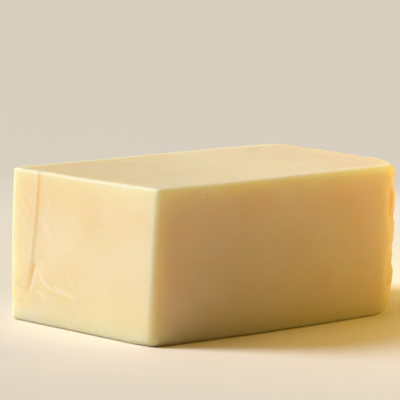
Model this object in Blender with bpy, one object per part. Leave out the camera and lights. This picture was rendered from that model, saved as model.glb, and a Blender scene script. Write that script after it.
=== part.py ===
"""Cheddar block: one block cut from a larger pressed cheese, standing on its flat underside.

The block starts as a cube primitive that is cut into a lattice. The lattice's points are then
carried onto the block's form: a plan with three tight corners and one broad one, softened top
and bottom edges, the slack bow of the long side, the knife's ridge on the cut end, and the
crags of the end that was broken off instead of cut.

Lengths are in metres and +Z is up. The long sides run along X: the front one faces -Y, the cut
end faces -X and the broken end faces +X. The origin is on the floor, under the block's middle.
"""

import math

import bmesh
import bpy
import numpy as np

# Overall size of the lattice, edge to edge
LENGTH = 0.2260
WIDTH = 0.125
HEIGHT = 0.090

# How far the foot of the front side bulges out, and how far its top leans out over the foot
FRONT_BOW = 0.0032
BOW_REACH = 0.86  # share of the length over which the foot bulges
FRONT_LEAN = 0.0010
FRONT_FADE = 0.060  # depth behind the front side over which its bow and lean die away

# How much each end draws back at its foot, and the share of the height where it stands out most
CUT_END_CROWN = 0.0010
CUT_END_FULLEST = 0.55
BROKEN_END_CROWN = 0.0012
BROKEN_END_FULLEST = 0.40
BROKEN_TOP_DROOP = 0.0009  # drawn back besides, near the top of the broken end
DROOP_START = 0.72  # shares of the height between which the droop grows to its full size
DROOP_END = 0.92
END_FADE = 0.060

# How far the cut end turns at the front corner, inward at the top and outward at the foot
CUT_END_TWIST = 0.0011
TWIST_FADE = 0.090

# Radii of the upright corners, seen from above
FRONT_CORNER = 0.0026
FRONT_CORNER_WEAR = 0.0024  # added at the foot of the front corner
REAR_CORNER = 0.0035
BROKEN_REAR_CORNER = 0.010
BROAD_CORNER = 0.041
BROAD_CORNER_WEAR = 0.003

# Radii of the level edges
TOP_EDGE = 0.0018
TOP_EDGE_SLUMP = 0.0020  # added along the top towards the broken end
SLUMP_START = 0.35  # shares of the length between which the slump grows to its full size
SLUMP_END = 0.90
FOOT_EDGE = 0.0026
FRONT_FOOT_WEAR = 0.0032  # added to the foot's round at the front corner
FRONT_FOOT_REACH = 0.020
BROAD_FOOT_WEAR = 0.0052  # added to the foot's round in the middle of the broad corner

# The ridge that the knife left on the cut end, from the top down to where it tore
RIDGE_TOP_Y = 0.1021
RIDGE_LEAN = 0.0060  # how far the ridge's lower end has curved towards the rear side
RIDGE_FOOT_Z = 0.028
RIDGE_STEP = 0.0008
RIDGE_HALF_WIDTH = 0.0011
RIDGE_SHELF = (0.010, 0.040)  # distances from the ridge between which its step dies away
RIDGE_END = (-0.006, 0.010)  # heights about the ridge's foot between which its step begins
TEAR_DEPTH = 0.0011
TEAR_SIZE = 0.0045
TEAR_OFFSET = 0.002

# The broken end: where its ragged rim lies round the broad corner, and how deep it is broken
RIM_ANGLE = math.radians(-75.0)  # direction of the wall's normal in plan, -90 on the front side
RIM_RAGGED = math.radians(5.0)
RIM_WANDER_SIZE = 0.012
RIM_BLEND = math.radians(8.0)
HEART_ANGLE = math.radians(-15.0)  # from here on the crags have their full depth
REAR_RIM_ANGLE = math.radians(60.0)
REAR_CALM = 0.6  # share of the crags' depth that is lost again towards the rear rim
RIM_ROUGH = 0.3  # share of the crags' depth that is there already at the rim
RIM_STEP = 0.0007
HOLLOW_DEPTH = 0.0040
HOLLOW_SIZE = 0.046
CRAG_DEPTH = 0.0050
CRAG_SIZE = 0.019
CRAG_RISE = 0.0018  # how far the crags stand out again from that depth
FLAKE_DEPTH = 0.0018
FLAKE_SIZE = 0.0085

# The top: its slight waviness, and the crumbled strip along the broken end
TOP_WAVE_DEPTH = 0.0006
TOP_WAVE_SIZE = 0.055
TOP_RELIEF_START = 0.75  # share of the height above which the walls follow the top down
CRUMBLE_DEPTH = 0.0009
CRUMBLE_SIZE = 0.0075
CRUMBLE_WIDTH = 0.016

# Scattered plates that the crags are made of, in shares of their cell
PLATE_LEVEL = 0.55
PLATE_SPREAD = 0.45
PLATE_TILT = 0.9
PLATE_DOME = 0.75

# Numbers that start each scatter, so that no two of them repeat each other
HOLLOW_SEED = 7
CRAG_SEED = 11
FLAKE_SEED = 23
RIM_SEED = 41
TOP_WAVE_SEED = 53
CRUMBLE_SEED = 61

# Whole numbers that mix a cell's place into its scattered number
WORD = 0xFFFFFFFF
PLACE_FACTORS = (374761393, 668265263, 1440662683)
SEED_FACTOR = 974634777
MIXING = ((13, 1274126177), (15, 1103515245), (16, 1))

# Spacing of the lattice
EDGE_CUTS = (0.0009, 0.0020, 0.0036, 0.0058)
WALL_CUT = 0.0046
LONG_CUT = 0.0130
BROAD_CUT = 0.0038
RIDGE_CUT = 0.0022
RIDGE_BAND = (0.094, 0.113)
UNDERSIDE_FLAT = math.radians(0.05)
HAIR = 1e-7  # lengths below this count as nothing

# Look of the cheese
CHEESE_COLOUR = (0.86, 0.62, 0.27, 1.0)
CHEESE_ROUGHNESS = 0.5


def smooth_step(low, high, value):
    """0 below low, 1 above high, and an even S between them."""
    part = np.clip((value - low) / (high - low), 0.0, 1.0)
    return part * part * (3.0 - 2.0 * part)


def scatter(cells, seed):
    """One fixed number from 0 to 1 for each cell, made by mixing its whole-number place."""
    mixed = seed * SEED_FACTOR
    for axis, factor in enumerate(PLACE_FACTORS):
        mixed = mixed + cells[..., axis] * factor
    mixed = mixed & WORD
    for shift, factor in MIXING:
        mixed = ((mixed ^ (mixed >> shift)) * factor) & WORD
    return mixed / WORD


def soft_noise(points, size, seed):
    """Smooth noise from -1 to 1: numbers at the corners of cells of this size, blended."""
    scaled = points / size
    corner = np.floor(scaled).astype(np.int64)
    part = scaled - corner
    part = part * part * (3.0 - 2.0 * part)
    total = np.zeros(len(points))
    for number in range(8):
        step = np.array([number & 1, (number >> 1) & 1, (number >> 2) & 1])
        share = np.prod(np.where(step, part, 1.0 - part), axis=1)
        total += share * scatter(corner + step, seed)
    return 2.0 * total - 1.0


def crag_noise(points, size, seed):
    """Broken lumps, about 0 to 1: the highest of tilted, slightly domed plates.

    Each cell of this size holds one plate at a scattered place, with a level of its own:
    level + tilt . offset - dome * offset^2.
    """
    scaled = points / size
    home = np.floor(scaled).astype(np.int64)
    highest = np.full(len(points), -np.inf)
    for number in range(27):
        cell = home + np.array([number % 3, number // 3 % 3, number // 9]) - 1
        shifts = [scatter(cell, seed + k) for k in range(3)]
        tilts = [scatter(cell, seed + 3 + k) - 0.5 for k in range(3)]
        offset = scaled - cell - np.stack(shifts, axis=1)
        plate = PLATE_LEVEL + PLATE_SPREAD * scatter(cell, seed + 6)
        plate += PLATE_TILT * np.sum(offset * np.stack(tilts, axis=1), axis=1)
        plate -= PLATE_DOME * np.sum(offset * offset, axis=1)
        highest = np.maximum(highest, plate)
    return np.clip(highest, 0.0, 1.0)


def cuts_between(start, end, step):
    """Evenly spaced places from start to end, no further apart than step, without the ends."""
    count = max(1, math.ceil((end - start) / step - HAIR))
    return [start + (end - start) * k / count for k in range(1, count)]


def with_edges(length, inner):
    """The places of one axis's cuts: the inner ones, and those of the softened edges."""
    near = list(EDGE_CUTS)
    far = [length - cut for cut in EDGE_CUTS]
    return sorted(near + inner + far)


def lattice_cuts():
    """Where the cube is cut across X, Y and Z."""
    edge = EDGE_CUTS[-1]
    broad = LENGTH - BROAD_CORNER
    along = cuts_between(edge, broad, LONG_CUT) + [broad]
    along += cuts_between(broad, LENGTH - edge, BROAD_CUT)
    low, high = RIDGE_BAND
    across = cuts_between(edge, low, WALL_CUT) + [low] + cuts_between(low, high, RIDGE_CUT)
    across += [high] + cuts_between(high, WIDTH - edge, WALL_CUT)
    upward = cuts_between(edge, HEIGHT - edge, WALL_CUT)
    return [
        with_edges(LENGTH, along),
        with_edges(WIDTH, across),
        with_edges(HEIGHT, upward),
    ]


def lattice_block():
    """A cube of the block's size with one corner at the origin, cut into the lattice."""
    block = bmesh.new()
    bmesh.ops.create_cube(block, size=1.0)
    bmesh.ops.translate(block, vec=(0.5, 0.5, 0.5), verts=block.verts)
    bmesh.ops.scale(block, vec=(LENGTH, WIDTH, HEIGHT), verts=block.verts)
    for axis, places in enumerate(lattice_cuts()):
        normal = [0.0, 0.0, 0.0]
        normal[axis] = 1.0
        for place in places:
            bmesh.ops.bisect_plane(
                block,
                geom=block.verts[:] + block.edges[:] + block.faces[:],
                dist=HAIR,
                plane_co=[place * part for part in normal],
                plane_no=normal,
            )
    return block


def round_plan(points):
    """Carries lattice points onto the block's plan.

    Returns their new x and y, the outward direction there, and how far inside the outline they
    are. In a corner's square, a point at shares (u, v) of the radius from the arc's centre goes
    out along the same line to a distance of max(u, v) radii, which turns squares into arcs.
    """
    x, y, z = points.T
    place = points[:, :2].copy()
    gaps = np.stack([x, LENGTH - x, y, WIDTH - y])
    side = np.argmin(gaps, axis=0)
    outward = np.array([(-1.0, 0.0), (1.0, 0.0), (0.0, -1.0), (0.0, 1.0)])[side]
    inset = gaps.min(axis=0)
    depth = (1.0 - z / HEIGHT) ** 2
    corners = (
        (-1.0, -1.0, FRONT_CORNER + FRONT_CORNER_WEAR * depth),
        (-1.0, 1.0, REAR_CORNER),
        (1.0, 1.0, BROKEN_REAR_CORNER),
        (1.0, -1.0, BROAD_CORNER + BROAD_CORNER_WEAR * depth),
    )
    for toward_x, toward_y, radius in corners:
        centre_x = radius if toward_x < 0 else LENGTH - radius
        centre_y = radius if toward_y < 0 else WIDTH - radius
        share_x = toward_x * (x - centre_x) / radius
        share_y = toward_y * (y - centre_y) / radius
        reach = np.hypot(share_x, share_y)
        inside = (share_x > 0.0) & (share_y > 0.0)
        spread = np.maximum(share_x, share_y) / np.where(inside, reach, 1.0)
        moved_x = centre_x + toward_x * radius * share_x * spread
        moved_y = centre_y + toward_y * radius * share_y * spread
        place = np.where(inside[:, None], np.stack([moved_x, moved_y], axis=1), place)
        direction = np.stack([toward_x * share_x, toward_y * share_y], axis=1)
        direction /= np.where(inside, reach, 1.0)[:, None]
        outward = np.where(inside[:, None], direction, outward)
    return place, outward, inset


def soften_edges(place, outward, inset, height):
    """Rounds the level edges, and returns the new places and heights.

    Near an edge, a point's offset from the centre line of the round is brought to the round's
    radius, out and up for the top edge and out and down for the foot.
    """
    slump = smooth_step(SLUMP_START * LENGTH, SLUMP_END * LENGTH, place[:, 0])
    from_front = np.hypot(place[:, 0], place[:, 1])
    worn = FRONT_FOOT_WEAR * (1.0 - smooth_step(0.0, FRONT_FOOT_REACH, from_front))
    at_broad = 2.0 * np.maximum(outward[:, 0], 0.0) * np.maximum(-outward[:, 1], 0.0)
    rounds = (
        (1.0, HEIGHT, TOP_EDGE + TOP_EDGE_SLUMP * slump),
        (-1.0, 0.0, FOOT_EDGE + worn + BROAD_FOOT_WEAR * at_broad),
    )
    for upward, level, radius in rounds:
        out = radius - inset
        up = radius - upward * (level - height)
        near = (out > 0.0) & (up > 0.0)
        scale = radius / np.where(near, np.hypot(out, up), radius)
        shift = np.where(near, out * scale - out, 0.0)
        rise = np.where(near, up * scale - up, 0.0)
        place = place + outward * shift[:, None]
        height = height + upward * rise
    return place, height


def sway(place, height):
    """How far each point moves along X and Y, which bows the front side and crowns the ends.

    The front side's foot swells by half a sine wave along the length, fading to nothing at the
    top. Each end draws back by the square of the distance from its fullest level. The cut end
    also turns in proportion to the height, most at the front corner. A corner moves as one,
    because these shifts change little over its round.
    """
    along_x, along_y = place.T
    level = height / HEIGHT
    swell = np.sin(math.pi * np.clip(along_x / (BOW_REACH * LENGTH), 0.0, 1.0)) * (1.0 - level)
    back = FRONT_BOW * (1.0 - swell) - FRONT_LEAN * level
    back *= 1.0 - smooth_step(0.0, FRONT_FADE, along_y)
    cut = CUT_END_CROWN * (level / CUT_END_FULLEST - 1.0) ** 2
    twist = CUT_END_TWIST * (2.0 * level - 1.0) * (1.0 - smooth_step(0.0, TWIST_FADE, along_y))
    cut = (cut + twist) * (1.0 - smooth_step(0.0, END_FADE, along_x))
    broken = BROKEN_END_CROWN * (level / BROKEN_END_FULLEST - 1.0) ** 2
    broken += BROKEN_TOP_DROOP * smooth_step(DROOP_START, DROOP_END, level)
    broken *= smooth_step(LENGTH - END_FADE, LENGTH, along_x)
    return np.column_stack([cut - broken, back])


def knife_ridge(place, outward, height):
    """Inward depth on the cut end: a step beside a curving ridge, and the tear at its foot.

    The ridge leaves the upright by the square of the distance below the top.
    """
    cut_end = np.clip(-outward[:, 0], 0.0, 1.0)
    lean = RIDGE_LEAN * ((HEIGHT - height) / (HEIGHT - RIDGE_FOOT_Z)) ** 2
    beside = place[:, 1] - (RIDGE_TOP_Y + lean)
    above = height - RIDGE_FOOT_Z
    lower = 1.0 - smooth_step(-RIDGE_HALF_WIDTH, RIDGE_HALF_WIDTH, beside)
    shelf = 1.0 - smooth_step(*RIDGE_SHELF, -beside)
    step = RIDGE_STEP * lower * shelf * smooth_step(*RIDGE_END, above)
    from_tear = np.hypot(beside + TEAR_OFFSET, above)
    tear = TEAR_DEPTH * np.exp(-((from_tear / TEAR_SIZE) ** 2))
    return cut_end * np.maximum(step, tear)


def crags(surface, outward):
    """Inward depth of the broken end, and the share of it that is broken at each point."""
    angle = np.arctan2(outward[:, 1], outward[:, 0])
    wander = RIM_RAGGED * soft_noise(surface, RIM_WANDER_SIZE, RIM_SEED)
    broken = smooth_step(RIM_ANGLE, RIM_ANGLE + RIM_BLEND, angle + wander)
    broken *= 1.0 - smooth_step(REAR_RIM_ANGLE, REAR_RIM_ANGLE + RIM_BLEND, angle + wander)
    heart = smooth_step(RIM_ANGLE, HEART_ANGLE, angle)
    heart *= 1.0 - REAR_CALM * smooth_step(0.0, REAR_RIM_ANGLE, angle)
    hollow = HOLLOW_DEPTH * (0.5 + 0.5 * soft_noise(surface, HOLLOW_SIZE, HOLLOW_SEED))
    lumps = CRAG_DEPTH * (1.0 - crag_noise(surface, CRAG_SIZE, CRAG_SEED))
    flakes = FLAKE_DEPTH * (1.0 - crag_noise(surface, FLAKE_SIZE, FLAKE_SEED))
    rough = (RIM_ROUGH + (1.0 - RIM_ROUGH) * heart) * (hollow + lumps - CRAG_RISE)
    return broken * (RIM_STEP + rough + flakes), broken


def top_relief(surface, inset, broken):
    """Downward depth on the top: slight waves, and crumbling beside the broken end."""
    waves = TOP_WAVE_DEPTH * (0.5 + 0.5 * soft_noise(surface, TOP_WAVE_SIZE, TOP_WAVE_SEED))
    beside = 1.0 - smooth_step(0.0, CRUMBLE_WIDTH, inset)
    lumps = crag_noise(surface, CRUMBLE_SIZE, CRUMBLE_SEED)
    return waves + CRUMBLE_DEPTH * beside * broken * (1.0 - lumps)


def block_form(points):
    """Carries the lattice's points onto the cheese, with the origin under its middle."""
    place, outward, inset = round_plan(points)
    height = points[:, 2]
    wall = np.column_stack([place + outward * inset[:, None], height])
    depth, broken = crags(wall, outward)
    depth += knife_ridge(wall[:, :2], outward, height)
    depth *= 1.0 - smooth_step(0.0, CRUMBLE_WIDTH, inset)
    place, rounded = soften_edges(place, outward, inset, height)
    surface = np.column_stack([place, rounded])
    near_top = smooth_step(TOP_RELIEF_START * HEIGHT, HEIGHT, height)
    lowered = rounded - near_top * top_relief(surface, inset, broken)
    place = place + sway(place, height) - outward * depth[:, None]
    middle = (place.min(axis=0) + place.max(axis=0)) / 2.0
    return np.column_stack([place - middle, lowered])


def merge_underside(block):
    """Joins the level faces of the underside into one flat face to rest on."""
    flat = [v for v in block.verts if abs(v.co.z) < HAIR]
    edges = [e for e in block.edges if all(abs(v.co.z) < HAIR for v in e.verts)]
    bmesh.ops.dissolve_limit(block, angle_limit=UNDERSIDE_FLAT, verts=flat, edges=edges)


def cheese_material():
    """Firm, pale golden cheese with a dull, slightly waxy surface."""
    material = bpy.data.materials.new("cheese")
    material.use_nodes = True
    shader = material.node_tree.nodes["Principled BSDF"]
    shader.inputs["Base Color"].default_value = CHEESE_COLOUR
    shader.inputs["Roughness"].default_value = CHEESE_ROUGHNESS
    shader.inputs["Metallic"].default_value = 0.0
    material.diffuse_color = CHEESE_COLOUR
    return material


def cheddar_block(collection):
    """The whole block, as one solid."""
    block = lattice_block()
    points = np.array([v.co[:] for v in block.verts])
    for vertex, place in zip(block.verts, block_form(points)):
        vertex.co = place
    merge_underside(block)
    mesh = bpy.data.meshes.new("cheddar_block")
    block.to_mesh(mesh)
    block.free()
    mesh.shade_smooth()
    mesh.materials.append(cheese_material())
    cheese = bpy.data.objects.new("cheddar_block", mesh)
    collection.objects.link(cheese)
    return cheese


def main():
    for old in list(bpy.data.objects):
        bpy.data.objects.remove(old, do_unlink=True)
    collection = bpy.data.collections.new("Cheddar block")
    bpy.context.scene.collection.children.link(collection)
    cheddar_block(collection)


main()
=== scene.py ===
import math

import bpy
import numpy as np
from mathutils import Matrix, Vector


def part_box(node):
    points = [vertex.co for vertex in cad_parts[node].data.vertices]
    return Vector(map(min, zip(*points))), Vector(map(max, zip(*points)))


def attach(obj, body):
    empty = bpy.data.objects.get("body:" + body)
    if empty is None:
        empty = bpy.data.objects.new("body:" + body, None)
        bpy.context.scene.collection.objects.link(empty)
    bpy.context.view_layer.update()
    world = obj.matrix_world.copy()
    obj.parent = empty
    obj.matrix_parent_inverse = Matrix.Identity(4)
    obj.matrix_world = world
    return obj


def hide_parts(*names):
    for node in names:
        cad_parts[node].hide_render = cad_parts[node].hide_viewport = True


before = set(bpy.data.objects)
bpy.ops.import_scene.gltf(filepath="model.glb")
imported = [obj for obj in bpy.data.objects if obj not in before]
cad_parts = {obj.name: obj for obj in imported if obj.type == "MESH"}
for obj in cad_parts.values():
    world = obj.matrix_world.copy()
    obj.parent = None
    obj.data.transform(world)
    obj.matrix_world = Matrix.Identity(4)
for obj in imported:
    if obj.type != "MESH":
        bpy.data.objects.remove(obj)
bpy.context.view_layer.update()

# Lengths are in metres. The shape is worked out in the block's own coordinates, whose origin is
# the foot of the front corner: X along the front side, Y along the cut end, Z up. The finished
# mesh is then set into the box of the CAD solid.

# The block's form, as the CAD solid has it
LENGTH = 0.2260
WIDTH = 0.125
HEIGHT = 0.090
FRONT_BOW = 0.0032
BOW_REACH = 0.86
FRONT_LEAN = 0.0010
FRONT_FADE = 0.060
CUT_END_CROWN = 0.0010
CUT_END_FULLEST = 0.55
BROKEN_END_CROWN = 0.0012
BROKEN_END_FULLEST = 0.40
BROKEN_TOP_DROOP = 0.0009
DROOP_START = 0.72
DROOP_END = 0.92
END_FADE = 0.060
CUT_END_TWIST = 0.0011
TWIST_FADE = 0.090
FRONT_CORNER = 0.0026
FRONT_CORNER_WEAR = 0.0024
REAR_CORNER = 0.0035
BROKEN_REAR_CORNER = 0.010
BROAD_CORNER = 0.041
BROAD_CORNER_WEAR = 0.003
TOP_EDGE = 0.0018
TOP_EDGE_SLUMP = 0.0020
SLUMP_START = 0.35
SLUMP_END = 0.90
FOOT_EDGE = 0.0026
FRONT_FOOT_WEAR = 0.0032
FRONT_FOOT_REACH = 0.020
BROAD_FOOT_WEAR = 0.0052

# The ridge that the knife left on the cut end
RIDGE_TOP_Y = 0.1021
RIDGE_LEAN = 0.0060
RIDGE_FOOT_Z = 0.028
RIDGE_STEP = 0.0008
RIDGE_HALF_WIDTH = 0.0009
RIDGE_SHELF = (0.010, 0.040)
RIDGE_END = (-0.006, 0.010)
RIDGE_LIP = 0.00030
RIDGE_LIP_WIDTH = 0.0006
RIDGE_LIP_RUN_IN = 0.004
RIDGE_LIP_PALE = 0.6
TEAR_PLACE = 0.0022
TEAR_HALF_WIDTH = 0.0020
TEAR_START = (0.030, 0.045)

# The broken end
RIM_ANGLE = math.radians(-75.0)
RIM_RAGGED = math.radians(5.0)
RIM_WANDER_SIZE = 0.012
RIM_BLEND = math.radians(5.0)
HEART_ANGLE = math.radians(-15.0)
REAR_RIM_ANGLE = math.radians(60.0)
REAR_CALM = 0.6
RIM_ROUGH = 0.3
RIM_STEP = 0.0007
HOLLOW_DEPTH = 0.0040
HOLLOW_SIZE = 0.046
CRAG_DEPTH = 0.0050
CRAG_SIZE = 0.019
CRAG_RISE = 0.0018
FLAKE_DEPTH = 0.0018
FLAKE_SIZE = 0.0085
GRAIN_DEPTH = 0.0007
GRAIN_SIZE = 0.0034

# The top
TOP_WAVE_DEPTH = 0.0006
TOP_WAVE_SIZE = 0.055
TOP_RELIEF_START = 0.75
CRUMBLE_DEPTH = 0.0009
CRUMBLE_SIZE = 0.0075
CRUMBLE_WIDTH = 0.016
TOP_GRAIN_DEPTH = 0.00022
TOP_GRAIN_SIZE = 0.0042

# Scattered plates that the crags are made of, in shares of their cell
PLATE_LEVEL = 0.55
PLATE_SPREAD = 0.45
PLATE_TILT = 0.9
PLATE_DOME = 0.75

# Numbers that start each scatter
HOLLOW_SEED = 7
CRAG_SEED = 11
FLAKE_SEED = 23
RIM_SEED = 41
TOP_WAVE_SEED = 53
CRUMBLE_SEED = 61
GRAIN_SEED = 71
TOP_GRAIN_SEED = 83
DRY_SEED = 97
CRYSTAL_SEED = 113
CRUMB_SEED = 131

# Whole numbers that mix a cell's place into its scattered number
WORD = 0xFFFFFFFF
PLACE_FACTORS = (374761393, 668265263, 1440662683)
SEED_FACTOR = 974634777
MIXING = ((13, 1274126177), (15, 1103515245), (16, 1))

# Spacing of the grid's columns round the plan and of its rows
CORNER_STRETCH = 0.005
CORNER_SPACING = 0.00036
CUT_END_SPACING = 0.00090
FRONT_SPACING = 0.00140
BROKEN_SPACING = 0.00072
REAR_SPACING = 0.0037
WALL_SPACING = 0.00086
EDGE_BAND = 0.006
EDGE_SPACING = 0.00048

# Where the photograph was taken from
LENS = 305.75
SENSOR = 36.0
CAMERA_AIM = Vector((-0.09191, -0.07498, 0.08409))
CAMERA_DISTANCE = 1.8899
CAMERA_YAW = math.radians(44.193)
CAMERA_PITCH = math.radians(7.682)
CAMERA_ROLL = math.radians(1.297)


def smooth_step(low, high, value):
    """0 below low, 1 above high, and an even S between them."""
    part = np.clip((value - low) / (high - low), 0.0, 1.0)
    return part * part * (3.0 - 2.0 * part)


def bell(value):
    """A bell curve, 1 at nought and falling off over one unit to each side."""
    return np.exp(-(value ** 2))


def scatter(cells, seed):
    """One fixed number from 0 to 1 for each cell, made by mixing its whole-number place."""
    mixed = seed * SEED_FACTOR
    for axis, factor in enumerate(PLACE_FACTORS):
        mixed = mixed + cells[..., axis] * factor
    mixed = mixed & WORD
    for shift, factor in MIXING:
        mixed = ((mixed ^ (mixed >> shift)) * factor) & WORD
    return mixed / WORD


def soft_noise(points, size, seed):
    """Smooth noise from -1 to 1: numbers at the corners of cells of this size, blended."""
    scaled = points / size
    corner = np.floor(scaled).astype(np.int64)
    part = scaled - corner
    part = part * part * (3.0 - 2.0 * part)
    total = np.zeros(len(points))
    for number in range(8):
        step = np.array([number & 1, (number >> 1) & 1, (number >> 2) & 1])
        share = np.prod(np.where(step, part, 1.0 - part), axis=1)
        total += share * scatter(corner + step, seed)
    return 2.0 * total - 1.0


def crag_noise(points, size, seed):
    """Broken lumps, about 0 to 1: the highest of tilted, slightly domed plates.

    Each cell of this size holds one plate at a scattered place, with a level of its own:
    level + tilt . offset - dome * offset^2.
    """
    scaled = points / size
    home = np.floor(scaled).astype(np.int64)
    highest = np.full(len(points), -np.inf)
    for number in range(27):
        cell = home + np.array([number % 3, number // 3 % 3, number // 9]) - 1
        shifts = [scatter(cell, seed + k) for k in range(3)]
        tilts = [scatter(cell, seed + 3 + k) - 0.5 for k in range(3)]
        offset = scaled - cell - np.stack(shifts, axis=1)
        plate = PLATE_LEVEL + PLATE_SPREAD * scatter(cell, seed + 6)
        plate += PLATE_TILT * np.sum(offset * np.stack(tilts, axis=1), axis=1)
        plate -= PLATE_DOME * np.sum(offset * offset, axis=1)
        highest = np.maximum(highest, plate)
    return np.clip(highest, 0.0, 1.0)


def round_plan(points):
    """Carries points of the plain box onto the block's plan.

    Returns their new x and y, the outward direction there, and how far inside the outline they
    are. In a corner's square, a point at shares (u, v) of the radius from the arc's centre goes
    out along the same line to a distance of max(u, v) radii, which turns squares into arcs.
    """
    x, y, z = points.T
    place = points[:, :2].copy()
    gaps = np.stack([x, LENGTH - x, y, WIDTH - y])
    side = np.argmin(gaps, axis=0)
    outward = np.array([(-1.0, 0.0), (1.0, 0.0), (0.0, -1.0), (0.0, 1.0)])[side]
    inset = gaps.min(axis=0)
    depth = (1.0 - z / HEIGHT) ** 2
    corners = (
        (-1.0, -1.0, FRONT_CORNER + FRONT_CORNER_WEAR * depth),
        (-1.0, 1.0, REAR_CORNER),
        (1.0, 1.0, BROKEN_REAR_CORNER),
        (1.0, -1.0, BROAD_CORNER + BROAD_CORNER_WEAR * depth),
    )
    for toward_x, toward_y, radius in corners:
        centre_x = radius if toward_x < 0 else LENGTH - radius
        centre_y = radius if toward_y < 0 else WIDTH - radius
        share_x = toward_x * (x - centre_x) / radius
        share_y = toward_y * (y - centre_y) / radius
        reach = np.hypot(share_x, share_y)
        inside = (share_x > 0.0) & (share_y > 0.0)
        spread = np.maximum(share_x, share_y) / np.where(inside, reach, 1.0)
        moved_x = centre_x + toward_x * radius * share_x * spread
        moved_y = centre_y + toward_y * radius * share_y * spread
        place = np.where(inside[:, None], np.stack([moved_x, moved_y], axis=1), place)
        direction = np.stack([toward_x * share_x, toward_y * share_y], axis=1)
        direction /= np.where(inside, reach, 1.0)[:, None]
        outward = np.where(inside[:, None], direction, outward)
    return place, outward, inset


def soften_edges(place, outward, inset, height):
    """Rounds the level edges, and returns the new places and heights.

    Near an edge, a point's offset from the centre line of the round is brought to the round's
    radius, out and up for the top edge and out and down for the foot.
    """
    slump = smooth_step(SLUMP_START * LENGTH, SLUMP_END * LENGTH, place[:, 0])
    from_front = np.hypot(place[:, 0], place[:, 1])
    worn = FRONT_FOOT_WEAR * (1.0 - smooth_step(0.0, FRONT_FOOT_REACH, from_front))
    at_broad = 2.0 * np.maximum(outward[:, 0], 0.0) * np.maximum(-outward[:, 1], 0.0)
    rounds = (
        (1.0, HEIGHT, TOP_EDGE + TOP_EDGE_SLUMP * slump),
        (-1.0, 0.0, FOOT_EDGE + worn + BROAD_FOOT_WEAR * at_broad),
    )
    for upward, level, radius in rounds:
        out = radius - inset
        up = radius - upward * (level - height)
        near = (out > 0.0) & (up > 0.0)
        scale = radius / np.where(near, np.hypot(out, up), radius)
        shift = np.where(near, out * scale - out, 0.0)
        rise = np.where(near, up * scale - up, 0.0)
        place = place + outward * shift[:, None]
        height = height + upward * rise
    return place, height


def sway(place, height):
    """How far each point moves along X and Y, which bows the front side and crowns the ends.

    The front side's foot swells by half a sine wave along the length, fading to nothing at the
    top. Each end draws back by the square of the distance from its fullest level. The cut end
    also turns in proportion to the height, most at the front corner.
    """
    along_x, along_y = place.T
    level = height / HEIGHT
    swell = np.sin(math.pi * np.clip(along_x / (BOW_REACH * LENGTH), 0.0, 1.0)) * (1.0 - level)
    back = FRONT_BOW * (1.0 - swell) - FRONT_LEAN * level
    back *= 1.0 - smooth_step(0.0, FRONT_FADE, along_y)
    cut = CUT_END_CROWN * (level / CUT_END_FULLEST - 1.0) ** 2
    twist = CUT_END_TWIST * (2.0 * level - 1.0) * (1.0 - smooth_step(0.0, TWIST_FADE, along_y))
    cut = (cut + twist) * (1.0 - smooth_step(0.0, END_FADE, along_x))
    broken = BROKEN_END_CROWN * (level / BROKEN_END_FULLEST - 1.0) ** 2
    broken += BROKEN_TOP_DROOP * smooth_step(DROOP_START, DROOP_END, level)
    broken *= smooth_step(LENGTH - END_FADE, LENGTH, along_x)
    return np.column_stack([cut - broken, back])


def crags(surface, outward):
    """Inward depth of the broken end, and the share of it that is broken at each point."""
    angle = np.arctan2(outward[:, 1], outward[:, 0])
    wander = RIM_RAGGED * soft_noise(surface, RIM_WANDER_SIZE, RIM_SEED)
    broken = smooth_step(RIM_ANGLE, RIM_ANGLE + RIM_BLEND, angle + wander)
    broken *= 1.0 - smooth_step(REAR_RIM_ANGLE, REAR_RIM_ANGLE + RIM_BLEND, angle + wander)
    heart = smooth_step(RIM_ANGLE, HEART_ANGLE, angle)
    heart *= 1.0 - REAR_CALM * smooth_step(0.0, REAR_RIM_ANGLE, angle)
    hollow = HOLLOW_DEPTH * (0.5 + 0.5 * soft_noise(surface, HOLLOW_SIZE, HOLLOW_SEED))
    lumps = CRAG_DEPTH * (1.0 - crag_noise(surface, CRAG_SIZE, CRAG_SEED))
    flakes = FLAKE_DEPTH * (1.0 - crag_noise(surface, FLAKE_SIZE, FLAKE_SEED))
    grain = GRAIN_DEPTH * (1.0 - crag_noise(surface, GRAIN_SIZE, GRAIN_SEED))
    rough = (RIM_ROUGH + (1.0 - RIM_ROUGH) * heart) * (hollow + lumps - CRAG_RISE)
    return broken * (RIM_STEP + rough + flakes + grain), broken


# Recesses and pits in the rim of the broken end: the way each faces in degrees, its height in
# millimetres, its half width in degrees, and its half height and depth in millimetres
RIM_PITS = (
    (-65.0, 67.0, 9.0, 9.5, 1.5),
    (-56.0, 75.5, 4.0, 1.6, 0.9),
    (-52.0, 47.0, 4.5, 3.0, 0.9),
    (-60.0, 37.7, 2.4, 1.4, 2.0),
    (-74.0, 23.0, 1.8, 1.1, 1.5),
    (-68.0, 18.7, 1.8, 1.1, 1.5),
)
PIT_FULL_DEPTH = 0.0012


def rim_pits(outward, height):
    """Inward depth of the recesses and pits: each is a flat-bottomed bell, exp(-reach^4)."""
    facing = np.degrees(np.arctan2(outward[:, 1], outward[:, 0]))
    depth = np.zeros(len(height))
    for angle, level, half_width, half_height, sunk in RIM_PITS:
        across = (facing - angle) / half_width
        up = (1000.0 * height - level) / half_height
        depth += 0.001 * sunk * bell(across ** 2 + up ** 2)
    return depth


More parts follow.
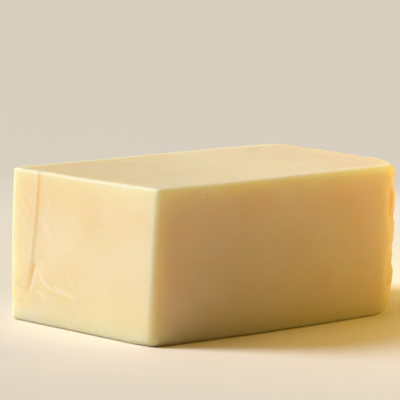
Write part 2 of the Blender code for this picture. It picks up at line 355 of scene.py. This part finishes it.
def top_relief(surface, inset, broken):
    """Downward depth on the top: slight waves, and crumbling beside the broken end."""
    waves = TOP_WAVE_DEPTH * (0.5 + 0.5 * soft_noise(surface, TOP_WAVE_SIZE, TOP_WAVE_SEED))
    beside = 1.0 - smooth_step(0.0, CRUMBLE_WIDTH, inset)
    lumps = crag_noise(surface, CRUMBLE_SIZE, CRUMBLE_SEED)
    grain = TOP_GRAIN_DEPTH * (0.5 + 0.5 * soft_noise(surface, TOP_GRAIN_SIZE, TOP_GRAIN_SEED))
    return waves + grain + CRUMBLE_DEPTH * beside * broken * (1.0 - lumps)


def stroke(places, start, bend, end, steps=14):
    """How the points of a flat face lie to a curved stroke: distance, and share along it.

    The stroke is the quadratic curve from start to end that leans towards bend. The distance is
    positive on the left of the stroke's way, and measured to its nearest straight step.
    """
    share = np.linspace(0.0, 1.0, steps + 1)[:, None]
    start, bend, end = (np.array(point) for point in (start, bend, end))
    line = (1.0 - share) ** 2 * start + 2.0 * share * (1.0 - share) * bend + share ** 2 * end
    nearest = np.full(len(places), np.inf)
    side = np.ones(len(places))
    along = np.zeros(len(places))
    for number in range(steps):
        step = line[number + 1] - line[number]
        offset = places - line[number]
        part = np.clip(offset @ step / (step @ step), 0.0, 1.0)
        gap = np.linalg.norm(offset - part[:, None] * step, axis=1)
        closer = gap < nearest
        left = step[0] * offset[:, 1] - step[1] * offset[:, 0]
        nearest = np.where(closer, gap, nearest)
        side = np.where(closer, np.where(left < 0.0, -1.0, 1.0), side)
        along = np.where(closer, (number + part) / steps, along)
    return nearest * side, along


def tapered(along):
    """1 in the middle of a stroke and nought at its ends."""
    return np.sin(math.pi * np.clip(along, 0.0, 1.0)) ** 0.5


# Marks on the cut end, each as (y, z) of its start, bend and end, in millimetres, then its half
# width and its height above the face, negative for a groove
KNIFE_MARKS = (
    ((99.6, 32.4), (97.6, 22.8), (84.6, 21.8), 0.9, 0.42),
    ((101.2, 28.6), (91.0, 18.4), (67.0, 16.6), 1.3, -0.34),
    ((101.0, 19.6), (97.0, 18.4), (92.0, 15.4), 0.8, 0.26),
    ((86.2, 23.8), (78.0, 21.6), (66.5, 19.4), 1.5, 0.18),
    ((76.6, 34.0), (73.0, 31.0), (68.6, 25.2), 0.5, 0.16),
    ((77.0, 50.5), (75.8, 46.5), (74.0, 42.5), 0.6, 0.10),
    ((81.6, 44.2), (80.4, 42.0), (78.9, 39.2), 0.7, 0.10),
    ((97.9, 38.0), (97.6, 36.0), (96.2, 33.0), 1.2, 0.16),
    ((45.2, 54.4), (42.0, 53.2), (38.6, 51.9), 0.3, 0.14),
    ((103.2, 34.9), (105.6, 31.0), (108.5, 18.0), 1.3, -0.95),
    ((125.0, 20.6), (117.0, 20.6), (108.4, 18.2), 0.8, -0.40),
    ((117.4, 73.4), (112.0, 67.0), (106.6, 61.8), 1.1, 0.12),
    ((119.6, 64.0), (113.6, 60.6), (107.4, 54.2), 1.2, 0.10),
    ((120.6, 80.0), (113.0, 76.8), (106.0, 70.6), 1.0, 0.10),
    ((95.6, 76.4), (93.4, 73.0), (90.6, 68.6), 1.2, 0.12),
    ((100.2, 63.4), (95.4, 60.2), (90.0, 50.4), 2.2, 0.14),
)

# The height and the depth in millimetres at which a mark takes its full colour
FULL_RISE = 0.25
FULL_SINK = 0.40


def knife_work(place, outward, height):
    """Inward depth on the cut end: the step beside the ridge, its thin lip, and the marks.

    The ridge leaves the upright by the square of the distance below the top. Each mark is a
    bell curve across its stroke, tapered at both ends.
    """
    cut_end = np.clip(-outward[:, 0], 0.0, 1.0) ** 2
    lean = RIDGE_LEAN * ((HEIGHT - height) / (HEIGHT - RIDGE_FOOT_Z)) ** 2
    beside = place[:, 1] - (RIDGE_TOP_Y + lean)
    above = height - RIDGE_FOOT_Z
    lower = 1.0 - smooth_step(-RIDGE_HALF_WIDTH, RIDGE_HALF_WIDTH, beside)
    shelf = 1.0 - smooth_step(*RIDGE_SHELF, -beside)
    depth = RIDGE_STEP * lower * shelf * smooth_step(*RIDGE_END, above)
    lip = bell((beside - RIDGE_LIP_WIDTH) / RIDGE_LIP_WIDTH)
    lip = lip * smooth_step(0.0, RIDGE_LIP_RUN_IN, above)
    depth = depth - RIDGE_LIP * lip
    raised = RIDGE_LIP_PALE * lip
    sunk = bell((beside + TEAR_PLACE) / TEAR_HALF_WIDTH) * smooth_step(*TEAR_START, above)
    face = np.column_stack([place[:, 1], height]) * 1000.0
    for start, bend, end, half_width, rise in KNIFE_MARKS:
        across, along = stroke(face, start, bend, end)
        mark = bell(across / half_width) * tapered(along)
        depth = depth - 0.001 * rise * mark
        if rise > 0.0:
            raised = np.maximum(raised, mark * min(1.0, rise / FULL_RISE))
        else:
            sunk = np.maximum(sunk, mark * min(1.0, -rise / FULL_SINK))
    return cut_end * depth, cut_end * raised, cut_end * sunk


def stops(stretches):
    """Places along a line made of stretches of given length and spacing, without the last end."""
    places = []
    start = 0.0
    for length, spacing in stretches:
        count = max(1, round(length / spacing))
        places.append(start + length * np.arange(count) / count)
        start += length
    return np.concatenate(places)


def perimeter():
    """Corner to corner round the plain box's plan, against the clock: x and y of each column.

    It starts at the rear corner of the cut end and goes down the cut end, along the front side,
    up the broken end and back along the rear side.
    """
    tight = (CORNER_STRETCH, CORNER_SPACING)
    cut = [tight, (WIDTH - 2.0 * CORNER_STRETCH, CUT_END_SPACING), tight]
    broad = BROAD_CORNER + 2.0 * CORNER_STRETCH
    front = [tight, (LENGTH - CORNER_STRETCH - broad, FRONT_SPACING), (broad, BROKEN_SPACING)]
    broken = [(WIDTH, BROKEN_SPACING)]
    rear = [(LENGTH - CORNER_STRETCH, REAR_SPACING), tight]
    down = stops(cut)
    out = stops(front)
    up = stops(broken)
    back = stops(rear)
    return np.concatenate([
        np.column_stack([np.zeros(len(down)), WIDTH - down]),
        np.column_stack([out, np.zeros(len(out))]),
        np.column_stack([np.full(len(up), LENGTH), up]),
        np.column_stack([LENGTH - back, np.full(len(back), WIDTH)]),
    ])


def profile_rows():
    """The rows from the middle of the top to the middle of the underside.

    Each is a share of the way from the plan's middle to its outline, and a height.
    """
    near = 1.0 - stops([(0.055, 0.0050), (0.105, 0.0088)])
    inner = near[-1] * (1.0 - np.linspace(0.0, 1.0, 16)[1:-1] ** 1.15)
    top = np.sort(np.concatenate([near, inner]))
    middle = HEIGHT - 2.0 * EDGE_BAND
    wall = stops([(EDGE_BAND, EDGE_SPACING), (middle, WALL_SPACING), (EDGE_BAND, EDGE_SPACING)])
    under = 1.0 - np.array([0.0, 0.006, 0.013, 0.022, 0.033, 0.047, 0.065, 0.09, 0.13, 0.25, 0.5])
    rows = [(share, HEIGHT) for share in top]
    rows += [(1.0, HEIGHT - drop) for drop in wall[1:]]
    rows += [(share, 0.0) for share in under]
    return np.array(rows)


def box_grid():
    """Points of the plain box: rows carried round the perimeter, then the two middles."""
    outline = perimeter()
    rows = profile_rows()
    centre = np.array([0.5 * LENGTH, 0.5 * WIDTH])
    flat = centre + rows[:, None, :1] * (outline - centre)
    height = np.broadcast_to(rows[:, None, 1:], flat.shape[:2] + (1,))
    grid = np.concatenate([flat, height], axis=2).reshape(-1, 3)
    poles = np.array([[*centre, HEIGHT], [*centre, 0.0]])
    return np.concatenate([grid, poles]), len(rows), len(outline)


def grid_faces(rows, columns):
    """Four-sided faces between neighbouring rows and columns, and a fan at each middle."""
    index = np.arange(rows * columns).reshape(rows, columns)
    beside = np.roll(index, -1, axis=1)
    sides = np.stack([index[:-1], index[1:], beside[1:], beside[:-1]], axis=-1).reshape(-1, 4)
    top = np.full(columns, rows * columns)
    fans = [
        np.column_stack([top, index[0], beside[0]]),
        np.column_stack([top + 1, beside[-1], index[-1]]),
    ]
    return sides, np.concatenate(fans)


# Soft spots of colour, each as its place along its side, its height, its half width and half
# height in millimetres, and its strength
CUT_END_SMUDGES = (
    (98.5, 12.4, 4.5, 0.9, 0.7),
    (83.7, 10.9, 4.0, 0.8, 0.6),
    (69.9, 10.5, 3.5, 0.8, 0.6),
    (63.1, 13.7, 3.0, 0.8, 0.5),
    (80.3, 13.7, 4.0, 0.7, 0.5),
    (36.0, 10.6, 3.0, 0.8, 0.5),
    (118.4, 22.4, 3.6, 1.2, 0.7),
    (116.6, 12.3, 2.8, 1.0, 0.6),
    (105.9, 23.1, 0.9, 0.9, 0.9),
    (21.7, 60.9, 0.7, 0.7, 0.8),
    (21.2, 43.1, 0.7, 0.7, 0.8),
    (26.9, 39.0, 0.6, 0.6, 0.7),
    (84.3, 36.5, 0.7, 0.7, 0.8),
    (81.4, 56.0, 0.6, 0.6, 0.7),
    (67.7, 12.6, 0.7, 0.7, 0.7),
)
FRONT_BLUSHES = (
    (42.2, 55.7, 3.0, 2.5, 0.8),
    (45.6, 49.7, 3.0, 2.2, 0.7),
    (38.9, 59.4, 2.5, 2.0, 0.7),
    (64.3, 61.8, 3.5, 2.0, 0.7),
    (73.0, 63.4, 3.0, 2.0, 0.6),
    (41.9, 66.0, 2.5, 2.0, 0.6),
    (158.6, 65.4, 1.0, 1.0, 0.9),
    (185.4, 43.8, 1.0, 1.0, 0.9),
)


# Where the shares of the finish begin and end, and how wide their bands are
# Depths over which the painted shade in the broken end's recesses comes in
RECESS_SHADE_DEPTHS = (0.002, 0.006)
WALL_BAND = 0.001
PATCH_SIZE = 0.004
SPECK_SIZE = 0.0015
DRY_TOP_BAND = 0.0021
DRY_TOP_LOSS = 0.6
DRY_TOP_FADE = (0.35 * LENGTH, 0.8 * LENGTH)
DRY_UPRIGHT_BAND = 0.0024
DRY_UPRIGHT_START = (0.004, 0.024)
FAR_START = (0.50 * LENGTH, 0.85 * LENGTH)
# Width of the painted glow: bright yellow painted along the top edges of the far half, standing in for
# light shining through them
PAINTED_GLOW_BAND = 0.0040
TAN_START = (0.004, 0.012)
# Width and strength of the painted shade, a darker gold band, along the foot of the cut end
FOOT_SHADE_BAND = 0.0035
FOOT_SHADE_GOLD = 0.6


def spots(along, height, table):
    """The share of soft spots on a side: each is a bell curve across its width and height."""
    share = np.zeros(len(along))
    for middle, level, half_width, half_height, strength in table:
        across = (1000.0 * along - middle) / half_width
        up = (1000.0 * height - level) / half_height
        share = np.maximum(share, strength * np.exp(-across ** 2 - up ** 2))
    return share


def carried(points):
    """Points of the plain box carried onto the block, the way out, and their finish.

    The finish is a set of shares from 0 to 1: dry along the edges; a painted glow of light, as if
    shining through, along the top edges of the far half; tan on the far top; broken on the broken
    end; rim at its edge; painted shade in its recesses and in its pits; raised on the knife's
    smears; sunk in its grooves, with a band of painted shade along the foot of the cut end; grey and
    blush in soft spots.
    """
    place, outward, inset = round_plan(points)
    height = points[:, 2]
    wall = np.column_stack([place + outward * inset[:, None], height])
    depth, broken = crags(wall, outward)
    near = 1.0 - smooth_step(0.0, CRUMBLE_WIDTH, inset)
    # Painted shade: dark amber laid into the deeper recesses of the broken end
    recess_shade = broken * smooth_step(*RECESS_SHADE_DEPTHS, depth) * near
    pits = rim_pits(outward, height) * broken
    depth = depth + pits
    knife, raised, sunk = knife_work(wall[:, :2], outward, height)
    on_wall = inset < WALL_BAND
    depth = (depth + knife) * near
    place, rounded = soften_edges(place, outward, inset, height)
    surface = np.column_stack([place, rounded])
    near_top = smooth_step(TOP_RELIEF_START * HEIGHT, HEIGHT, height)
    lowered = rounded - near_top * top_relief(surface, inset, broken)
    place = place + sway(place, height) - outward * depth[:, None]
    final = np.column_stack([place, lowered])
    from_top = np.maximum(inset, HEIGHT - height)
    from_front = np.hypot(points[:, 0], points[:, 1])
    patchy = 0.75 + 0.45 * soft_noise(surface, PATCH_SIZE, DRY_SEED)
    patchy += 0.30 * soft_noise(surface, SPECK_SIZE, DRY_SEED + 1)
    dry_top = bell(from_top / DRY_TOP_BAND)
    dry_top *= 1.0 - DRY_TOP_LOSS * smooth_step(*DRY_TOP_FADE, points[:, 0])
    dry_upright = bell(from_front / DRY_UPRIGHT_BAND) * smooth_step(*DRY_UPRIGHT_START, height)
    dry = np.clip(np.maximum(dry_top, dry_upright) * patchy, 0.0, 1.0)
    far = smooth_step(*FAR_START, points[:, 0])
    # Painted glow: a bright yellow band along the top edges of the far half, painted light as if
    # shining through the thin edge
    painted_glow = far * bell(from_top / PAINTED_GLOW_BAND) * np.clip(0.7 + 0.6 * patchy, 0.0, 1.0)
    tan = smooth_step(*TAN_START, inset) * near_top * far * np.clip(patchy, 0.0, 1.0)
    cut_end = np.clip(-outward[:, 0], 0.0, 1.0) * on_wall
    front = np.clip(-outward[:, 1], 0.0, 1.0) * on_wall
    # Painted shade: a darker gold band along the foot of the cut end, where it meets the floor
    foot = cut_end * bell(height / FOOT_SHADE_BAND)
    finish = {
        "dry": dry,
        "painted_glow": painted_glow,
        "tan": tan,
        "broken": broken * near,
        "rim": 4.0 * broken * (1.0 - broken) * near,
        "recess_shade": recess_shade,
        # Painted shade: dark amber laid into the pits of the rim
        "pit_shade": np.clip(pits / PIT_FULL_DEPTH, 0.0, 1.0) * near,
        "raised": raised * on_wall,
        # The grooves' own gold, and painted shade as a darker gold band along the foot of the cut end
        "sunk": np.maximum(sunk * on_wall, FOOT_SHADE_GOLD * foot),
        "grey": cut_end * spots(wall[:, 1], height, CUT_END_SMUDGES),
        "blush": front * spots(wall[:, 0], height, FRONT_BLUSHES),
    }
    return final, outward, finish


def box_fit(points):
    """The scale and the shift, a hair each, with which the block fills the CAD solid's box."""
    low, high = (np.array(corner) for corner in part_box("cheddar_block"))
    own_low = points.min(axis=0)
    scale = (high - low) / (points.max(axis=0) - own_low)
    return scale, low - own_low * scale


# A small lump: rings of points from one pole to the other, and how uneven and how flat it is
LUMP_RINGS = 3
LUMP_POINTS = 7
LUMP_UNEVEN = 0.5
LUMP_FLATNESS = 0.6


def lumps(centres, outward, sizes, seed):
    """Small closed lumps of these sizes, half sunk into the surface at these centres.

    A point of a lump is its centre plus its size times the direction of a sphere's point, which
    is flattened along the way out and lengthened or shortened by a scattered share.
    """
    out = np.column_stack([outward, np.zeros(len(outward))])
    across = np.column_stack([-outward[:, 1], outward[:, 0], np.zeros(len(outward))])
    above = np.cross(out, across)
    fall = np.pi * (np.arange(LUMP_RINGS) + 1.0) / (LUMP_RINGS + 1.0)
    turn = 2.0 * np.pi * np.arange(LUMP_POINTS) / LUMP_POINTS
    fall, turn = (grid.ravel() for grid in np.meshgrid(fall, turn, indexing="ij"))
    fall = np.append(fall, [0.0, np.pi])
    turn = np.append(turn, [0.0, 0.0])
    ways = LUMP_FLATNESS * np.cos(fall)[None, :, None] * out[:, None, :]
    ways = ways + (np.sin(fall) * np.cos(turn))[None, :, None] * across[:, None, :]
    ways = ways + (np.sin(fall) * np.sin(turn))[None, :, None] * above[:, None, :]
    number = np.indices((len(centres), len(fall), 1)).transpose(1, 2, 3, 0)[:, :, 0]
    reach = 1.0 + LUMP_UNEVEN * (scatter(number, seed) - 0.5)
    points = centres[:, None, :] + sizes[:, None, None] * reach[:, :, None] * ways
    sides, fans = grid_faces(LUMP_RINGS, LUMP_POINTS)
    starts = len(fall) * np.arange(len(centres))[:, None, None]
    faces = (starts + sides).reshape(-1, 4).tolist()
    faces += (starts + fans).reshape(-1, 3).tolist()
    return points.reshape(-1, 3), faces


def new_tree(name):
    """A new material with a Principled shader, as its tree and its shader."""
    material = bpy.data.materials.new(name)
    material.use_nodes = True
    tree = material.node_tree
    return material, tree, tree.nodes["Principled BSDF"]


def add_node(tree, kind, **values):
    """A new node of this kind with its plain properties set."""
    node = tree.nodes.new(kind)
    for key, value in values.items():
        setattr(node, key, value)
    return node


def noise_pattern(tree, size, detail, roughness=0.5, distortion=0.0, stretch=None):
    """Noise on the piece's own coordinates, with spots of about this size in metres."""
    where = add_node(tree, "ShaderNodeTexCoord").outputs["Object"]
    if stretch is not None:
        mapping = add_node(tree, "ShaderNodeMapping")
        mapping.inputs["Scale"].default_value = stretch
        tree.links.new(where, mapping.inputs["Vector"])
        where = mapping.outputs["Vector"]
    noise = add_node(tree, "ShaderNodeTexNoise")
    noise.inputs["Scale"].default_value = 1.0 / size
    noise.inputs["Detail"].default_value = detail
    noise.inputs["Roughness"].default_value = roughness
    noise.inputs["Distortion"].default_value = distortion
    tree.links.new(where, noise.inputs["Vector"])
    return noise.outputs["Fac"]


def spread(tree, value, low, high, out_low=0.0, out_high=1.0):
    """Carries a value's range from low..high to out_low..out_high, and clips it there."""
    ranged = add_node(tree, "ShaderNodeMapRange", clamp=True)
    ranged.inputs["From Min"].default_value = low
    ranged.inputs["From Max"].default_value = high
    ranged.inputs["To Min"].default_value = out_low
    ranged.inputs["To Max"].default_value = out_high
    tree.links.new(value, ranged.inputs["Value"])
    return ranged.outputs["Result"]


def times(tree, first, second):
    """The product of two values, the second of which may be a plain number."""
    node = add_node(tree, "ShaderNodeMath", operation="MULTIPLY")
    tree.links.new(first, node.inputs[0])
    if isinstance(second, float):
        node.inputs[1].default_value = second
    else:
        tree.links.new(second, node.inputs[1])
    return node.outputs["Value"]


def tinted(tree, share, under, over):
    """A colour mixed from under to over by share; under may be a colour or an output."""
    mix = add_node(tree, "ShaderNodeMix", data_type="RGBA")
    tree.links.new(share, mix.inputs["Factor"])
    for socket, colour in (("A", under), ("B", over)):
        place = [i for i in mix.inputs if i.name == socket and i.type == "RGBA"][0]
        if isinstance(colour, tuple):
            place.default_value = (*colour, 1.0)
        else:
            tree.links.new(colour, place)
    return [o for o in mix.outputs if o.type == "RGBA"][0]


def share_of(tree, name):
    """One of the surface's shares, read back from the mesh."""
    return add_node(tree, "ShaderNodeAttribute", attribute_name=name).outputs["Fac"]


# Colours of the cheese, as shares of red, green and blue light
CREAM = (0.90, 0.73, 0.44)
GOLD = (0.88, 0.68, 0.36)
ROSE = (0.90, 0.72, 0.50)
DRY_EDGE = (0.90, 0.74, 0.52)
PALE_SMEAR = (0.96, 0.80, 0.58)
# Gold of the knife's grooves, also used as painted shade along the foot of the cut end
GROOVE_AND_FOOT_SHADE_GOLD = (0.90, 0.67, 0.32)
CRAG_PALE = (0.90, 0.69, 0.38)
# Painted shade: the dark amber of the broken end's recesses and pits
CRAG_SHADE = (0.84, 0.54, 0.18)

# Painted light: the bright yellow of the painted glow along the far top edges
PAINTED_GLOW_YELLOW = (0.98, 0.84, 0.52)
TAN_TOP = (0.78, 0.57, 0.33)
RIM_PALE = (0.93, 0.84, 0.66)
GREY_SMUDGE = (0.76, 0.65, 0.46)
CRYSTAL_WHITE = (0.94, 0.86, 0.74)

# Each share that tints the cheese, its strength, and its colour, from the lowest layer up
TINTS = (
    ("blush", 0.7, ROSE),
    # gold in the grooves, and painted shade along the foot of the cut end
    ("sunk", 0.8, GROOVE_AND_FOOT_SHADE_GOLD),
    ("grey", 0.8, GREY_SMUDGE),
    ("raised", 0.8, PALE_SMEAR),
    ("tan", 0.9, TAN_TOP),
    # painted shade in the broken end's recesses
    ("recess_shade", 0.45, CRAG_SHADE),
    ("rim", 0.5, RIM_PALE),
    # painted shade in the pits of the rim
    ("pit_shade", 0.9, CRAG_SHADE),
    ("dry", 0.75, DRY_EDGE),
    # painted glow of light along the far top edges
    ("painted_glow", 0.8, PAINTED_GLOW_YELLOW),
)

SCATTER_RADIUS = (1.0, 0.75, 0.4)
SCATTER_SCALE = 0.025


def cheese_material():
    """Firm golden cheese: translucent, clouded, drier along the edges and paler where it broke, with a
    painted glow along the far top edges, and painted shade in the broken end's recesses and pits and
    along the foot of the cut end.
    """
    material, tree, shader = new_tree("firm_cheese")
    clouds = spread(tree, noise_pattern(tree, 0.030, 4.0, 0.55), 0.35, 0.65)
    colour = tinted(tree, clouds, CREAM, GOLD)
    blush = times(tree, spread(tree, noise_pattern(tree, 0.014, 3.0, 0.6), 0.55, 0.75), 0.5)
    colour = tinted(tree, blush, colour, ROSE)
    flecks = spread(tree, noise_pattern(tree, 0.004, 4.0, 0.65), 0.42, 0.62)
    colour = tinted(tree, times(tree, share_of(tree, "broken"), flecks), colour, CRAG_PALE)
    for share, strength, tint in TINTS:
        colour = tinted(tree, times(tree, share_of(tree, share), strength), colour, tint)
    tree.links.new(colour, shader.inputs["Base Color"])
    gloss = spread(tree, noise_pattern(tree, 0.006, 3.0), 0.3, 0.7, 0.42, 0.56)
    tree.links.new(gloss, shader.inputs["Roughness"])
    shader.inputs["IOR"].default_value = 1.42
    shader.inputs["Specular IOR Level"].default_value = 0.2
    shader.inputs["Subsurface Weight"].default_value = 1.0
    shader.inputs["Subsurface Radius"].default_value = SCATTER_RADIUS
    shader.inputs["Subsurface Scale"].default_value = SCATTER_SCALE
    shader.inputs["Subsurface Anisotropy"].default_value = 0.0
    fine = add_node(tree, "ShaderNodeBump")
    fine.inputs["Strength"].default_value = 0.25
    fine.inputs["Distance"].default_value = 0.0004
    tree.links.new(noise_pattern(tree, 0.0016, 5.0, 0.6), fine.inputs["Height"])
    tree.links.new(fine.outputs["Normal"], shader.inputs["Normal"])
    return material


def make_piece(name, points, faces, material, shares=None):
    """A mesh object from whole arrays of points and faces, smooth and with its shares."""
    mesh = bpy.data.meshes.new(name)
    mesh.from_pydata(points.tolist(), [], faces)
    mesh.polygons.foreach_set("use_smooth", np.ones(len(mesh.polygons), bool))
    for share, values in (shares or {}).items():
        layer = mesh.attributes.new(share, "FLOAT", "POINT")
        layer.data.foreach_set("value", values.astype(np.float32))
    mesh.materials.append(material)
    mesh.update()
    piece = bpy.data.objects.new(name, mesh)
    bpy.context.scene.collection.objects.link(piece)
    return piece


def cheese_block(material):
    """The whole block of cheese, as one closed surface; returns how it was fitted to its box."""
    grid, rows, columns = box_grid()
    points, outward, shares = carried(grid)
    scale, shift = box_fit(points)
    sides, fans = grid_faces(rows, columns)
    faces = sides.tolist() + fans.tolist()
    piece = make_piece("cheese_block", points * scale + shift, faces, material, shares)
    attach(piece, "root")
    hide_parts("cheddar_block")
    return scale, shift


# White crystals on the front side, each as x and z in millimetres
FRONT_CRYSTALS = (
    (18.2, 72.5), (20.5, 74.0), (23.2, 85.4), (30.5, 87.4),
    (6.2, 72.3), (5.7, 88.0), (39.3, 71.9), (54.6, 62.6),
    (60.3, 59.8), (62.0, 57.4), (54.9, 55.1), (52.7, 50.7),
    (38.9, 35.4), (69.2, 82.1), (39.7, 84.4), (59.4, 87.5),
)
CRYSTAL_SIZE = (0.00035, 0.00060)
BROKEN_CRYSTALS = 90
CRUMB_SIZE = (0.0004, 0.0012)
CRUMBS = 110


def on_broken_end(count, seed):
    """Scattered places of the plain box's broken end, a hair inside its edges."""
    numbers = np.zeros((count, 3), int)
    numbers[:, 0] = np.arange(count)
    along = 0.002 + (WIDTH - 0.004) * scatter(numbers, seed)
    level = 0.002 + (HEIGHT - 0.004) * scatter(numbers, seed + 1)
    return np.column_stack([np.full(count, LENGTH), along, level])


def small_lumps(name, places, sizes, seed, fit, material):
    """A piece of small lumps at places of the plain box, kept inside the CAD solid's box."""
    scale, shift = fit
    centres, outward, shares = carried(places)
    numbers = np.zeros((len(places), 3), int)
    numbers[:, 0] = np.arange(len(places))
    size = sizes[0] + (sizes[1] - sizes[0]) * scatter(numbers, seed + 2) ** 2
    points, faces = lumps(centres * scale + shift, outward, size, seed + 3)
    points = np.clip(points, *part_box("cheddar_block"))
    count = len(points) // len(places)
    shares = {share: np.repeat(values, count) for share, values in shares.items()}
    piece = make_piece(name, points, faces, material, shares)
    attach(piece, "root")
    return piece


def crystal_material():
    """White crystals that ripening leaves in the cheese: dull and pale."""
    material, tree, shader = new_tree("crystals")
    mottle = spread(tree, noise_pattern(tree, 0.0008, 2.0), 0.35, 0.65)
    tree.links.new(tinted(tree, mottle, CRYSTAL_WHITE, RIM_PALE), shader.inputs["Base Color"])
    shader.inputs["Roughness"].default_value = 0.6
    return material


def crystals(fit):
    """The crystals of the front side and of the broken end."""
    front = 0.001 * np.array([(x, 0.0, z) for x, z in FRONT_CRYSTALS])
    places = np.concatenate([front, on_broken_end(BROKEN_CRYSTALS, CRYSTAL_SEED)])
    small_lumps("crystals", places, CRYSTAL_SIZE, CRYSTAL_SEED, fit, crystal_material())


def crumb_material():
    """Crumbs too small to glow from within: dry, dull cheese in two tones."""
    material, tree, shader = new_tree("crumbs")
    mottle = spread(tree, noise_pattern(tree, 0.0020, 2.0), 0.40, 0.60)
    tree.links.new(tinted(tree, mottle, CRAG_PALE, RIM_PALE), shader.inputs["Base Color"])
    shader.inputs["Roughness"].default_value = 0.6
    return material


def crumbs(fit):
    """Loose crumbs that cling to the broken end."""
    places = on_broken_end(CRUMBS, CRUMB_SEED)
    small_lumps("crumbs", places, CRUMB_SIZE, CRUMB_SEED, fit, crumb_material())


FLOOR_SIZE = 40.0
FLOOR_COLOUR = (0.90, 0.82, 0.68, 1.0)


def pale_floor():
    """A plain pale floor under the block."""
    material, tree, shader = new_tree("pale_floor")
    shader.inputs["Base Color"].default_value = FLOOR_COLOUR
    shader.inputs["Roughness"].default_value = 0.8
    half = FLOOR_SIZE
    points = np.array([(-half, -half, 0.0), (half, -half, 0.0), (half, half, 0.0), (-half, half, 0.0)])
    floor = make_piece("floor", points, [[0, 1, 2, 3]], material)
    return floor


# Far soft lights, each as name, compass direction and height in degrees, how many degrees wide
# it looks, power and colour; a direction of 0 is in front of the front side, 90 to its right
FAR_LIGHTS = (
    ("key", -135.0, 35.0, 25.0, 3.8, (0.64, 0.78, 1.00)),
    ("overhead", -120.0, 65.0, 40.0, 1.25, (1.00, 0.70, 0.30)),
)

# Near square lights, with their aim and their distance from it, then size, power and colour
NEAR_LIGHTS = (
    ("side", 62.0, 24.0, (0.095, -0.040, 0.070), 0.26, 0.12, 0.52, (1.00, 0.66, 0.10)),
    ("behind", 130.0, 25.0, (0.080, 0.000, 0.050), 0.50, 0.30, 0.45, (0.50, 0.60, 0.60)),
)
SURROUND = (0.80, 0.77, 0.72, 1.0)


def place_lamp(light, compass, rise, aim, distance):
    """Hangs a light at this distance from its aim, in this direction, and turns it there."""
    compass, rise = math.radians(compass), math.radians(rise)
    away = Vector((
        math.sin(compass) * math.cos(rise),
        -math.cos(compass) * math.cos(rise),
        math.sin(rise),
    ))
    lamp = bpy.data.objects.new(light.name, light)
    lamp.location = Vector(aim) + distance * away
    lamp.rotation_euler = (-away).to_track_quat("-Z", "Y").to_euler()
    bpy.context.scene.collection.objects.link(lamp)


def studio():
    """Plain soft lights, and a pale surround that is seen but sheds no light."""
    for name, compass, rise, width, power, colour in FAR_LIGHTS:
        light = bpy.data.lights.new(name, "SUN")
        light.angle = math.radians(width)
        light.energy = power
        light.color = colour
        place_lamp(light, compass, rise, (0.0, 0.0, 0.0), 2.0)
    for name, compass, rise, aim, distance, size, power, colour in NEAR_LIGHTS:
        light = bpy.data.lights.new(name, "AREA")
        light.shape = "SQUARE"
        light.size = size
        light.energy = power
        light.color = colour
        place_lamp(light, compass, rise, aim, distance)
    world = bpy.data.worlds.new("surround")
    world.use_nodes = True
    background = world.node_tree.nodes["Background"]
    background.inputs["Color"].default_value = SURROUND
    seen = add_node(world.node_tree, "ShaderNodeLightPath").outputs["Is Camera Ray"]
    world.node_tree.links.new(seen, background.inputs["Strength"])
    bpy.context.scene.world = world
    bpy.context.scene.view_settings.view_transform = "Standard"


def camera():
    """The camera at the photograph's viewing angle, turned by yaw, pitch and roll."""
    forward = Vector((
        math.sin(CAMERA_YAW) * math.cos(CAMERA_PITCH),
        math.cos(CAMERA_YAW) * math.cos(CAMERA_PITCH),
        -math.sin(CAMERA_PITCH),
    ))
    level = Vector((math.cos(CAMERA_YAW), -math.sin(CAMERA_YAW), 0.0))
    above = level.cross(forward)
    right = math.cos(CAMERA_ROLL) * level + math.sin(CAMERA_ROLL) * above
    upward = math.cos(CAMERA_ROLL) * above - math.sin(CAMERA_ROLL) * level
    data = bpy.data.cameras.new("camera")
    data.sensor_width = SENSOR
    data.lens = LENS
    data.clip_end = 50.0
    eye = bpy.data.objects.new("camera", data)
    turn = Matrix((right, upward, -forward)).transposed().to_4x4()
    eye.matrix_world = Matrix.Translation(CAMERA_AIM - forward * CAMERA_DISTANCE) @ turn
    bpy.context.scene.collection.objects.link(eye)
    bpy.context.scene.camera = eye


box_fitting = cheese_block(cheese_material())
crystals(box_fitting)
crumbs(box_fitting)
pale_floor()
studio()
camera()
